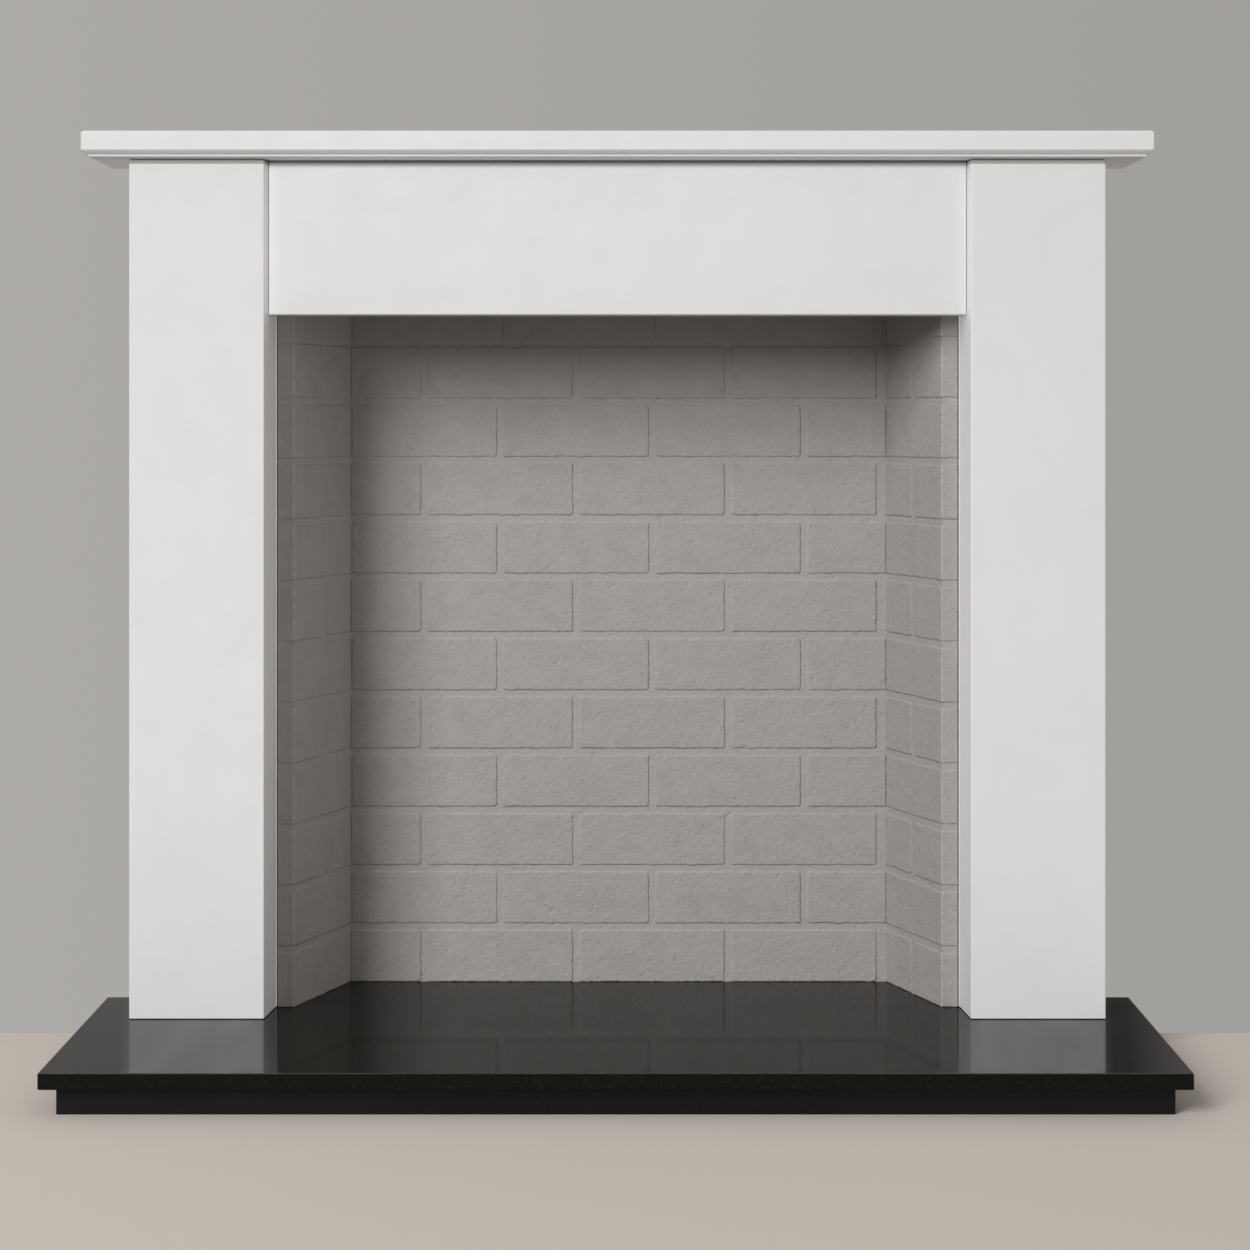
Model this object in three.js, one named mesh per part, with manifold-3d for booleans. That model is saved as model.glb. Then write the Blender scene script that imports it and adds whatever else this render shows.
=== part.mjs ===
// Fireplace mantelpiece: a plain white stone surround on a polished black granite hearth,
// round a fire chamber of cast brick-effect panels.
//
// Millimetres, +Z up. The floor is Z = 0 and the wall's face is Y = 0. The front faces -Y, so what stands
// out into the room has a negative Y, and the chamber goes back into the wall to a positive Y.

import * as THREE from 'three';
import { mergeVertices } from 'three/addons/utils/BufferGeometryUtils.js';
import Module from 'manifold-3d';

const wasm = await Module();
wasm.setup();

// Hearth: a slab on a riser that is set back under it, both with a tongue under the chamber.
const HEARTH_WIDTH = 1372;
const HEARTH_PROJECTION = 381;
const SLAB_THICKNESS = 20;
const SLAB_ARRIS = 1.5;
const PLINTH_HEIGHT = 34;
const PLINTH_SETBACK = 18;
const HEARTH_TOP = PLINTH_HEIGHT + SLAB_THICKNESS;

// Surround: two jambs either side of the opening, with the frieze set back between them. The jambs'
// inner sides lean in by RETURN_LEAN, down to the narrower throat where the fire chamber starts.
const OPENING_WIDTH = 914;
const RETURN_LEAN = 7;
const THROAT_WIDTH = OPENING_WIDTH - 2 * RETURN_LEAN;
const JAMB_WIDTH = 174.5;
const JAMB_DEPTH = 122;
const JAMB_HEIGHT = 1113;
const FRIEZE_FRONT = 100;
const FRIEZE_HEIGHT = 201;
const FRIEZE_JOINT = 0.3;
const STONE_ARRIS = 2;
const ARRIS_STEPS = 2;

// Mantel shelf: a slab with a rounded top edge over a cove and a fillet, which return along both ends.
const SHELF_WIDTH = 1382;
const SHELF_DEPTH = 138;
const SHELF_FACE_HEIGHT = 26;
const SHELF_TOP_ROUND = 5;
const SHELF_LOWER_ARRIS = 1;
const COVE_INSET = 7;
const COVE_DROP = 3.6;
const FILLET_TOP = 5.4;
const SOFFIT_ROUND = 2.8;
const SHELF_PLAN_ROUND = 2.5;
const ROUND_STEPS = 5;

// Fire chamber: splayed sides with a front return beside each jamb, and a back between them.
const CHAMBER_FRONT = 57;
const CHAMBER_RECESS = 89;
const CHAMBER_HEIGHT = 940;
const PANEL_THICKNESS = 26;
const ARRIS_HALF_WIDTH = 427;
const BACK_HALF_WIDTH = 369;
const TOP_THICKNESS = 25;
const BACK_BRICK_CLEARANCE = 1.5;

// Brickwork cast on the chamber panels: stretchers in half bond, a little proud of their mortar.
const BRICK_MODULE = 209.6;
const COURSE_PITCH = 80.5;
const FIRST_COURSE = 76;
const MORTAR = 8;
const BRICK_RELIEF = 2.5;
const BRICK_CHAMFER = 1.6;
const BRICK_EMBED = 1;
const ODD_COURSE_JOINT = 151;
const SHORTEST_BRICK = 7;

const STONE = { color: '#dcdad6', roughness: 0.55, metalness: 0 };
const GRANITE = { color: '#121313', roughness: 0.12, metalness: 0 };
const RISER = { color: '#161616', roughness: 0.3, metalness: 0 };
const CAST_BRICK = { color: '#a39c93', roughness: 0.95, metalness: 0 };
const CAST_BOARD = { color: '#8f8982', roughness: 1, metalness: 0 };

/** A named mesh with a material of its own. */
function part(name, geometry, finish) {
  const mesh = new THREE.Mesh(geometry, new THREE.MeshStandardMaterial(finish));
  mesh.name = name;
  return mesh;
}

/** A closed shape from [x, y] corners. */
function shapeOf(corners) {
  return new THREE.Shape(corners.map(([x, y]) => new THREE.Vector2(x, y)));
}

/** A quarter circle from angle `start`, in degrees, about [cx, cy], as [x, y] points. */
function quarter(cx, cy, radius, start) {
  const points = [];
  for (let i = 0; i <= ARRIS_STEPS; i += 1) {
    const angle = THREE.MathUtils.degToRad(start + (90 * i) / ARRIS_STEPS);
    points.push([cx + radius * Math.cos(angle), cy + radius * Math.sin(angle)]);
  }
  return points;
}

/** The plan of a stone that is square at the wall and has rounded corners at its front. */
function stonePlan(halfWidth, front, round) {
  return [
    [halfWidth, 0],
    [-halfWidth, 0],
    ...quarter(-halfWidth + round, front + round, round, 180),
    ...quarter(halfWidth - round, front + round, round, 270),
  ];
}

/** A closed solid through convex rings of equal length, from the bottom ring up. */
function loft(rings) {
  const size = rings[0].plan.length;
  const positions = rings.flatMap(({ plan, z }) => plan.flatMap(([x, y]) => [x, y, z]));
  const indices = [];
  for (let level = 0; level + 1 < rings.length; level += 1) {
    for (let i = 0; i < size; i += 1) {
      const a = level * size + i;
      const b = level * size + ((i + 1) % size);
      indices.push(a, b, b + size, a, b + size, a + size);
    }
  }
  const top = (rings.length - 1) * size;
  for (let i = 1; i + 1 < size; i += 1) {
    indices.push(0, i + 1, i);
    indices.push(top, top + i, top + i + 1);
  }
  const geometry = new THREE.BufferGeometry();
  geometry.setAttribute('position', new THREE.Float32BufferAttribute(positions, 3));
  geometry.setIndex(indices);
  return geometry;
}

/** The T-shaped plan of the hearth, pulled in by `setback` on the front and the sides. */
function hearthPlan(setback) {
  const half = HEARTH_WIDTH / 2 - setback;
  const front = -(HEARTH_PROJECTION - setback);
  const tongue = THROAT_WIDTH / 2;
  const back = CHAMBER_RECESS + PANEL_THICKNESS;
  return [
    [-half, front],
    [half, front],
    [half, 0],
    [tongue, 0],
    [tongue, back],
    [-tongue, back],
    [-tongue, 0],
    [-half, 0],
  ];
}

/** The riser: it carries the whole slab and its tongue. */
function hearthPlinth() {
  const geometry = new THREE.ExtrudeGeometry(shapeOf(hearthPlan(PLINTH_SETBACK)), {
    depth: PLINTH_HEIGHT,
    bevelEnabled: false,
  });
  return part('hearth_plinth', geometry, RISER);
}

/** The granite slab, with a polished arris all round. */
function hearthSlab() {
  const geometry = new THREE.ExtrudeGeometry(shapeOf(hearthPlan(0)), {
    depth: SLAB_THICKNESS - 2 * SLAB_ARRIS,
    bevelEnabled: true,
    bevelThickness: SLAB_ARRIS,
    bevelSize: SLAB_ARRIS,
    bevelOffset: -SLAB_ARRIS,
    bevelSegments: 1,
  });
  const mesh = part('hearth_slab', geometry, GRANITE);
  mesh.position.z = PLINTH_HEIGHT + SLAB_ARRIS;
  return mesh;
}

/** The half width between the jambs at a depth `y`, where their inner sides lean. */
function returnHalfWidth(y) {
  const share = (-y - CHAMBER_FRONT) / (JAMB_DEPTH - STONE_ARRIS - CHAMBER_FRONT);
  return THROAT_WIDTH / 2 + RETURN_LEAN * share;
}

/** A stone leg with its two front arrises eased. `side` is 1 for the right one and -1 for the left. */
function jamb(name, side) {
  const inner = OPENING_WIDTH / 2;
  const outer = inner + JAMB_WIDTH;
  const corner = -JAMB_DEPTH + STONE_ARRIS;
  const right = [
    [outer, 0],
    [THROAT_WIDTH / 2, 0],
    [THROAT_WIDTH / 2, -CHAMBER_FRONT],
    ...quarter(inner + STONE_ARRIS, corner, STONE_ARRIS, 180),
    ...quarter(outer - STONE_ARRIS, corner, STONE_ARRIS, 270),
  ];
  const plan = side > 0 ? right : right.map(([x, y]) => [-x, y]).reverse();
  const geometry = loft([
    { plan, z: 0 },
    { plan, z: JAMB_HEIGHT },
  ]);
  const mesh = part(name, geometry, STONE);
  mesh.position.z = HEARTH_TOP;
  return mesh;
}

/** The plain panel between the jambs, with its lower front arris eased. */
function frieze() {
  const plan = (front) => {
    const half = returnHalfWidth(front) - FRIEZE_JOINT;
    const backHalf = THROAT_WIDTH / 2 - FRIEZE_JOINT;
    return [
      [backHalf, -CHAMBER_FRONT],
      [-backHalf, -CHAMBER_FRONT],
      [-half, front],
      [half, front],
    ];
  };
  const geometry = loft([
    { plan: plan(-FRIEZE_FRONT + STONE_ARRIS), z: 0 },
    { plan: plan(-FRIEZE_FRONT), z: STONE_ARRIS },
    { plan: plan(-FRIEZE_FRONT), z: FRIEZE_HEIGHT },
  ]);
  const mesh = part('frieze', geometry, STONE);
  mesh.position.z = HEARTH_TOP + JAMB_HEIGHT - FRIEZE_HEIGHT;
  return mesh;
}

/** The shelf's edge as [inset, height] from its underside up: round, fillet, cove, face, rounded top. */
function shelfProfile() {
  const faceBottom = FILLET_TOP + COVE_DROP;
  const faceTop = faceBottom + SHELF_FACE_HEIGHT - SHELF_TOP_ROUND;
  const coveInset = SHELF_LOWER_ARRIS + COVE_INSET;
  const profile = quarter(coveInset + SOFFIT_ROUND, SOFFIT_ROUND, SOFFIT_ROUND, 180).reverse();
  for (let i = 0; i <= ROUND_STEPS; i += 1) {
    const angle = (Math.PI / 2) * (1 - i / ROUND_STEPS);
    profile.push([
      SHELF_LOWER_ARRIS + COVE_INSET * Math.sin(angle),
      FILLET_TOP + COVE_DROP * Math.cos(angle),
    ]);
  }
  profile.push([0, faceBottom + SHELF_LOWER_ARRIS]);
  for (let i = 0; i <= ROUND_STEPS; i += 1) {
    const angle = ((Math.PI / 2) * i) / ROUND_STEPS;
    profile.push([
      SHELF_TOP_ROUND * (1 - Math.cos(angle)),
      faceTop + SHELF_TOP_ROUND * Math.sin(angle),
    ]);
  }
  return profile;
}

/** The shelf: its edge runs along the front and both ends, and its back is flat to the wall. */
function mantelShelf() {
  const rings = shelfProfile().map(([inset, z]) => ({
    plan: stonePlan(SHELF_WIDTH / 2 - inset, -SHELF_DEPTH + inset, SHELF_PLAN_ROUND),
    z,
  }));
  const mesh = part('mantel_shelf', loft(rings), STONE);
  mesh.position.z = HEARTH_TOP + JAMB_HEIGHT;
  return mesh;
}

/** A manifold solid from a geometry. */
function solidOf(geometry) {
  const bare = geometry.clone();
  bare.deleteAttribute('normal');
  bare.deleteAttribute('uv');
  const merged = mergeVertices(bare);
  return new wasm.Manifold(
    new wasm.Mesh({
      numProp: 3,
      vertProperties: new Float32Array(merged.attributes.position.array),
      triVerts: new Uint32Array(merged.index.array),
    }),
  );
}

/** A geometry from a manifold solid. */
function geometryOf(solid) {
  const { vertProperties, triVerts } = solid.getMesh();
  const geometry = new THREE.BufferGeometry();
  geometry.setAttribute('position', new THREE.Float32BufferAttribute(vertProperties, 3));
  geometry.setIndex(new THREE.Uint32BufferAttribute(triVerts, 1));
  return geometry;
}

/**
 * The straight run of wall from plan point `from` to plan point `to`. Brick faces lie on the line, the
 * body of the wall is on its left, and the mortar is BRICK_RELIEF behind it.
 */
function wallRun(from, to) {
  const start = new THREE.Vector2(...from);
  const along = new THREE.Vector2(...to).sub(start);
  const length = along.length();
  along.normalize();
  const inward = new THREE.Vector2(-along.y, along.x);
  const at = (s, depth) => start.clone().addScaledVector(along, s).addScaledVector(inward, depth);
  return { length, at };
}

/** One brick on a wall run: a low block with chamfered edges, except at an end that turns a corner. */
function brick(run, { from, to, bottom, top, turnsAtStart, turnsAtEnd }) {
  const startChamfer = turnsAtStart ? 0 : BRICK_CHAMFER;
  const endChamfer = turnsAtEnd ? 0 : BRICK_CHAMFER;
  const ring = (depth, inset) => {
    const a = run.at(from + startChamfer * inset, depth);
    const b = run.at(to - endChamfer * inset, depth);
    const low = bottom + BRICK_CHAMFER * inset;
    const high = top - BRICK_CHAMFER * inset;
    return [a.x, a.y, low, b.x, b.y, low, b.x, b.y, high, a.x, a.y, high];
  };
  const positions = [
    ...ring(BRICK_RELIEF + BRICK_EMBED, 0),
    ...ring(BRICK_CHAMFER, 0),
    ...ring(0, 1),
  ];
  const indices = [0, 2, 1, 0, 3, 2, 8, 9, 10, 8, 10, 11];
  for (const level of [0, 4]) {
    for (let i = 0; i < 4; i += 1) {
      const a = level + i;
      const b = level + ((i + 1) % 4);
      indices.push(a, b, b + 4, a, b + 4, a + 4);
    }
  }
  const geometry = new THREE.BufferGeometry();
  geometry.setAttribute('position', new THREE.Float32BufferAttribute(positions, 3));
  geometry.setIndex(indices);
  return solidOf(geometry);
}

/** The bottom and top of each course of bricks, up to the head of the chamber. */
function courses() {
  const list = [];
  let joint = FIRST_COURSE;
  let bottom = 0;
  while (bottom < CHAMBER_HEIGHT - MORTAR) {
    list.push({ bottom, top: Math.min(joint - MORTAR / 2, CHAMBER_HEIGHT) });
    bottom = joint + MORTAR / 2;
    joint += COURSE_PITCH;
  }
  return list;
}

/** The bricks of one course between `low` and `high`, parted at the upright joints given. */
function bricksBetween(low, high, joints) {
  const inside = joints.filter((joint) => joint > low && joint < high);
  const edges = [low, ...inside.flatMap((joint) => [joint - MORTAR / 2, joint + MORTAR / 2]), high];
  const list = [];
  for (let i = 0; i < edges.length; i += 2) {
    if (edges[i + 1] - edges[i] >= SHORTEST_BRICK) {
      list.push([edges[i], edges[i + 1]]);
    }
  }
  return list;
}

/** The upright joints of a course of the back panel, from left to right, measured from its middle. */
function backJoints(courseIndex) {
  const shift = courseIndex % 2 === 0 ? ODD_COURSE_JOINT : ODD_COURSE_JOINT - BRICK_MODULE / 2;
  const joints = [];
  for (let x = shift; x > -BACK_HALF_WIDTH; x -= BRICK_MODULE) {
    joints.push(x);
  }
  return [...joints.reverse(), shift + BRICK_MODULE];
}

/** The back panel: a board behind the splays, faced with bricks where it shows between them. */
function chamberBack() {
  const board = new THREE.BoxGeometry(
    THROAT_WIDTH,
    PANEL_THICKNESS - BRICK_RELIEF,
    CHAMBER_HEIGHT,
  );
  board.translate(0, CHAMBER_RECESS + (PANEL_THICKNESS + BRICK_RELIEF) / 2, CHAMBER_HEIGHT / 2);
  const reach = BACK_HALF_WIDTH - BACK_BRICK_CLEARANCE;
  const run = wallRun([-reach, CHAMBER_RECESS], [reach, CHAMBER_RECESS]);
  const bricks = courses().flatMap(({ bottom, top }, index) =>
    bricksBetween(0, run.length, backJoints(index).map((x) => x + reach)).map(([from, to]) =>
      brick(run, { from, to, bottom, top }),
    ),
  );
  const solid = wasm.Manifold.union([solidOf(board), ...bricks]);
  const mesh = part('chamber_back', geometryOf(solid), CAST_BRICK);
  mesh.position.z = HEARTH_TOP;
  return mesh;
}

/** The point where two straight lines, each given by two points, cross. */
function crossing([p, q], [r, t]) {
  const first = q.clone().sub(p);
  const second = t.clone().sub(r);
  const share = r.clone().sub(p).cross(second) / first.cross(second);
  return p.clone().addScaledVector(first, share);
}

/**
 * A side panel: a front return beside the jamb and a splay back to the back panel, in one casting.
 * It is worked out for the left side, and `side` of 1 mirrors it for the right.
 */
function chamberSide(name, side) {
  const outer = [-THROAT_WIDTH / 2, -CHAMBER_FRONT];
  const arris = [-ARRIS_HALF_WIDTH, -CHAMBER_FRONT];
  const lean = (ARRIS_HALF_WIDTH - BACK_HALF_WIDTH) / (CHAMBER_FRONT + CHAMBER_RECESS);
  const seat = CHAMBER_RECESS + BRICK_RELIEF;
  const corner = [-BACK_HALF_WIDTH + lean * BRICK_RELIEF, seat];
  const slip = wallRun(outer, arris);
  const splay = wallRun(arris, corner);

  // The board's plan follows the mortar line at the front and the panel's thickness behind it.
  const onSlip = (depth) => [slip.at(0, depth), slip.at(slip.length, depth)];
  const onSplay = (depth) => [splay.at(0, depth), splay.at(splay.length, depth)];
  const backLine = [new THREE.Vector2(-1, seat), new THREE.Vector2(1, seat)];
  const plan = [
    slip.at(0, BRICK_RELIEF),
    crossing(onSlip(BRICK_RELIEF), onSplay(BRICK_RELIEF)),
    crossing(onSplay(BRICK_RELIEF), backLine),
    crossing(onSplay(PANEL_THICKNESS), backLine),
    crossing(onSlip(PANEL_THICKNESS), onSplay(PANEL_THICKNESS)),
    slip.at(0, PANEL_THICKNESS),
  ];
  const board = new THREE.ExtrudeGeometry(new THREE.Shape(plan), {
    depth: CHAMBER_HEIGHT,
    bevelEnabled: false,
  });

  const middle = splay.length / 2;
  const bricks = courses().flatMap(({ bottom, top }, index) => [
    brick(slip, { from: 0, to: slip.length, bottom, top, turnsAtStart: true, turnsAtEnd: true }),
    ...bricksBetween(0, splay.length, index % 2 === 0 ? [middle] : []).map(([from, to]) =>
      brick(splay, { from, to, bottom, top, turnsAtStart: from === 0 }),
    ),
  ]);
  const behind = new THREE.BoxGeometry(OPENING_WIDTH, OPENING_WIDTH, 2 * CHAMBER_HEIGHT);
  behind.translate(0, seat + OPENING_WIDTH / 2, CHAMBER_HEIGHT / 2);
  let solid = wasm.Manifold.union([solidOf(board), ...bricks]).subtract(solidOf(behind));
  if (side > 0) {
    solid = solid.mirror([1, 0, 0]);
  }
  const mesh = part(name, geometryOf(solid), CAST_BRICK);
  mesh.position.z = HEARTH_TOP;
  return mesh;
}

/** The plain slab that closes the chamber overhead, behind the frieze. */
function chamberTop() {
  const depth = CHAMBER_FRONT + CHAMBER_RECESS + PANEL_THICKNESS;
  const mesh = part('chamber_top', new THREE.BoxGeometry(THROAT_WIDTH, depth, TOP_THICKNESS), CAST_BOARD);
  mesh.position.set(0, depth / 2 - CHAMBER_FRONT, HEARTH_TOP + CHAMBER_HEIGHT + TOP_THICKNESS / 2);
  return mesh;
}

const mantelpiece = new THREE.Group();
mantelpiece.add(hearthPlinth(), hearthSlab());
mantelpiece.add(jamb('left_jamb', -1), jamb('right_jamb', 1), frieze(), mantelShelf());
mantelpiece.add(chamberBack(), chamberSide('chamber_left', -1), chamberSide('chamber_right', 1));
mantelpiece.add(chamberTop());

export default mantelpiece;
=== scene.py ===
"""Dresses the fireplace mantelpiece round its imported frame.

The white stone surround, the black granite hearth and the cast brick-effect fire chamber are each built
finer than the solids they stand for, in the same places. Lengths are in metres. The front faces -Y, the
wall's face is Y = 0 and the floor is Z = 0.
"""

from __future__ import annotations

import logging
import math
from dataclasses import dataclass, field, fields
from enum import Enum, IntEnum
from types import SimpleNamespace
from typing import Callable, Iterable, Sequence

import bmesh
import bpy
from mathutils import Matrix, Vector

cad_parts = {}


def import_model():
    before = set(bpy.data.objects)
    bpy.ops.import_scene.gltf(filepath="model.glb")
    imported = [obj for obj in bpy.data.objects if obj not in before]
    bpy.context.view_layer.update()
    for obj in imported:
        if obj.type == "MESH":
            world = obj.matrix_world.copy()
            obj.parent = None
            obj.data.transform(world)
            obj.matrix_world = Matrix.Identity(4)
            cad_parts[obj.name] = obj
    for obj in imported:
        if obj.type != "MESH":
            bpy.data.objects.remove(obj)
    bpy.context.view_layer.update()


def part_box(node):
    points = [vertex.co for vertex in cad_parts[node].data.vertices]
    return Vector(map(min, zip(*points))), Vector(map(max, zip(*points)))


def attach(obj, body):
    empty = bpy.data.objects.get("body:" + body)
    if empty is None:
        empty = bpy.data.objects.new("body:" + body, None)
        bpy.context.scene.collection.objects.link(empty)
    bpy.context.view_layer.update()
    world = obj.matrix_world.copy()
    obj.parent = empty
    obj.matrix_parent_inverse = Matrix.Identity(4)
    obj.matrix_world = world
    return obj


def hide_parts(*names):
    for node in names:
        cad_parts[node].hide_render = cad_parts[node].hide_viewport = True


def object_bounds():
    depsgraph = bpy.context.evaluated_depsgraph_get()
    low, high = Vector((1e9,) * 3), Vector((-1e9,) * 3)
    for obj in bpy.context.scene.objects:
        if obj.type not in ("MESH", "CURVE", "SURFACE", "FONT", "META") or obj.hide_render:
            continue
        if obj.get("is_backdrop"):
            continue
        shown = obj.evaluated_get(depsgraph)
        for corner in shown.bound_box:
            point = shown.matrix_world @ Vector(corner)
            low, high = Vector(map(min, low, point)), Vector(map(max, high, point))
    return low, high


LOG = logging.getLogger("mantelpiece")
BODY = "root"
HAIR = 0.0001

Material = bpy.types.Material
Mesh = bpy.types.Mesh
Piece = bpy.types.Object
Solid = bmesh.types.BMesh
Colour = tuple[float, float, float]
Point2 = tuple[float, float]
Inputs = dict[str | int, object]
EdgeTest = Callable[[bmesh.types.BMEdge], bool]
FaceTest = Callable[[bpy.types.MeshPolygon], bool]


class Side(Enum):
    """The two sides of the surround, as the sign of their X."""

    LEFT = -1
    RIGHT = 1


class Skin(IntEnum):
    """The material slots of a white stone."""

    HONED = 0
    SAWN = 1
    # Dark joint fill in the recesses, darkened further as painted shade.
    BEDDING_AND_SHADE = 2
    # Grey flush pointing under a joint, which also paints the shade under the shelf.
    POINTING_AND_SHADE = 3
    # Near-black fill at the foot: a joint fill that paints a contact shadow.
    MASTIC_AND_SHADOW = 4


class Wire:
    """A socket of a node tree, on which Python's operators add Math nodes."""

    def __init__(self, tree: NodeTree, socket: bpy.types.NodeSocket) -> None:
        """Wraps an output socket of a tree."""
        self.tree = tree
        self.socket = socket

    def other(self, name: str) -> Wire:
        """Another output of the same node, by its name."""
        return Wire(self.tree, self.tree.pick(self.socket.node.outputs, name))

    def math(self, operation: str, *values: Wire | float) -> Wire:
        """A Math node on this wire and the values."""
        return self.tree.math(operation, self, *values)

    def held(self, low: Wire | float, high: Wire | float) -> Wire:
        """The value, held between two others."""
        return self.math("MAXIMUM", low).math("MINIMUM", high)

    def __add__(self, value: Wire | float) -> Wire:
        """The sum."""
        return self.math("ADD", value)

    def __sub__(self, value: Wire | float) -> Wire:
        """The difference."""
        return self.math("SUBTRACT", value)

    def __rsub__(self, value: float) -> Wire:
        """The difference, reflected."""
        return self.tree.math("SUBTRACT", value, self)

    def __mul__(self, value: Wire | float) -> Wire:
        """The product."""
        return self.math("MULTIPLY", value)

    def __truediv__(self, value: Wire | float) -> Wire:
        """The quotient."""
        return self.math("DIVIDE", value)

    def __rtruediv__(self, value: float) -> Wire:
        """The quotient, reflected."""
        return self.tree.math("DIVIDE", value, self)

    def __pow__(self, value: Wire | float) -> Wire:
        """The power."""
        return self.math("POWER", value)

    def __abs__(self) -> Wire:
        """The absolute value."""
        return self.math("ABSOLUTE")

    def __neg__(self) -> Wire:
        """The value with its sign turned."""
        return self.math("MULTIPLY", -1.0)

    __radd__ = __add__
    __rmul__ = __mul__


class NodeTree:
    """Adds nodes to a shader tree or a geometry tree."""

    def __init__(self, tree: bpy.types.NodeTree) -> None:
        """Wraps a node tree."""
        self.tree = tree

    @staticmethod
    def pick(sockets: Iterable[bpy.types.NodeSocket], key: str | int) -> bpy.types.NodeSocket:
        """Finds a socket.

        Args:
            sockets: where it is.
            key: its name, or its place.

        Returns:
            The enabled socket with the name, or the socket at the place.
        """
        if isinstance(key, int):
            return list(sockets)[key]
        return next(s for s in sockets if s.name == key and s.enabled)

    def node(
        self, kind: str, inputs: Inputs | None = None, output: str | int = 0, **settings: object
    ) -> Wire:
        """Adds one node.

        Args:
            kind: the node's type.
            inputs: values or wires, by socket name or place.
            output: the output that is returned.
            **settings: the node's own settings, made before its sockets are read.

        Returns:
            The wire on the chosen output.
        """
        made = self.tree.nodes.new(kind)
        for name, value in settings.items():
            setattr(made, name, value)
        for key, value in (inputs or {}).items():
            socket = self.pick(made.inputs, key)
            if isinstance(value, Wire):
                self.tree.links.new(value.socket, socket)
            else:
                socket.default_value = value
        return Wire(self, self.pick(made.outputs, output))

    def math(self, operation: str, *values: Wire | float) -> Wire:
        """Adds a Math node."""
        return self.node("ShaderNodeMath", dict(enumerate(values)), operation=operation)

    def vector(self, x: Wire | float, y: Wire | float, z: Wire | float) -> Wire:
        """Joins three numbers into a vector."""
        return self.node("ShaderNodeCombineXYZ", {0: x, 1: y, 2: z})

    def split(self, vector: Wire) -> tuple[Wire, Wire, Wire]:
        """Parts a vector into its three numbers."""
        x = self.node("ShaderNodeSeparateXYZ", {0: vector})
        return x, x.other("Y"), x.other("Z")

    def shifted(self, place: Wire, amount: float) -> Wire:
        """A place moved along all three axes, for a pattern that is unlike its neighbour."""
        inputs = {0: place, 1: (amount, amount, amount)}
        return self.node("ShaderNodeVectorMath", inputs, operation="ADD")

    def noise(self, place: Wire, scale: float, detail: float, roughness: float = 0.5) -> Wire:
        """A noise value from 0 to 1 over a place, with `scale` cells to the metre."""
        inputs = {"Vector": place, "Scale": scale, "Detail": detail, "Roughness": roughness}
        return self.node("ShaderNodeTexNoise", inputs, output="Fac")

    def ramp(self, value: Wire, low: float, high: float) -> Wire:
        """A value stretched so that `low` to `high` becomes 0 to 1, and held there."""
        inputs = {"Value": value, "From Min": low, "From Max": high}
        return self.node("ShaderNodeMapRange", inputs, clamp=True)

    def blend(self, share: Wire, first: Colour | Wire, second: Colour | Wire) -> Wire:
        """A colour between two, by a share from 0 to 1."""
        a, b = (colour if isinstance(colour, Wire) else (*colour, 1.0) for colour in (first, second))
        return self.node("ShaderNodeMix", {"Factor": share, "A": a, "B": b}, "Result", data_type="RGBA")

    def bump(self, height: Wire, strength: float, distance: float, over: Wire | None = None) -> Wire:
        """A normal that a height tilts, over another such normal if there is one."""
        inputs = {"Height": height, "Strength": strength, "Distance": distance}
        return self.node("ShaderNodeBump", {**inputs, "Normal": over} if over else inputs)


@dataclass(frozen=True)
class Finish:
    """The base of all finishes: a Principled material on Object coordinates."""

    name: str

    def material(self) -> Material:
        """Builds the material.

        Returns:
            The material.
        """
        made = bpy.data.materials.new(self.name)
        made.use_nodes = True
        made.node_tree.nodes.clear()
        tree = NodeTree(made.node_tree)
        place = tree.node("ShaderNodeTexCoord", output="Object")
        shader = tree.node("ShaderNodeBsdfPrincipled", self.sockets(tree, place))
        leave = made.node_tree.nodes.new("ShaderNodeOutputMaterial")
        made.node_tree.links.new(shader.socket, leave.inputs["Surface"])
        return made

    def sockets(self, tree: NodeTree, place: Wire) -> Inputs:
        """The shader's inputs.

        Args:
            tree: the material's tree.
            place: the Object coordinates.

        Returns:
            Values or wires, by socket name.
        """
        raise NotImplementedError


@dataclass(frozen=True)
class HonedStone(Finish):
    """Fine white stone: faint clouds, a close grain and a few small pale and grey flecks."""

    pale: Colour
    cloud: Colour
    fleck: Colour
    roughness: float
    grain_height: float

    def sockets(self, tree: NodeTree, place: Wire) -> Inputs:
        """The shader's inputs: see Finish."""
        clouds = tree.ramp(tree.noise(place, 4.0, 5.0, 0.55), 0.35, 0.68)
        veils = tree.ramp(tree.noise(place, 22.0, 4.0, 0.6), 0.40, 0.75)
        grain = tree.noise(place, 520.0, 3.0, 0.6)
        cells = {"Vector": place, "Scale": 210.0, "Randomness": 1.0}
        middles = tree.ramp(1.0 - tree.node("ShaderNodeTexVoronoi", cells, "Distance"), 0.80, 0.93)
        flecks = middles * tree.ramp(tree.noise(place, 60.0, 2.0), 0.52, 0.62)
        share = clouds * 0.55 + veils * 0.35 + (grain - 0.5) * 0.30
        body = tree.blend(share, self.pale, self.cloud)
        return {
            "Base Color": tree.blend(flecks * 0.35, body, self.fleck),
            "Roughness": self.roughness + (veils - 0.5) * 0.10 + (grain - 0.5) * 0.10,
            "Specular IOR Level": 0.35,
            "Normal": tree.bump(grain - flecks * 0.4, 0.30, self.grain_height),
        }


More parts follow.
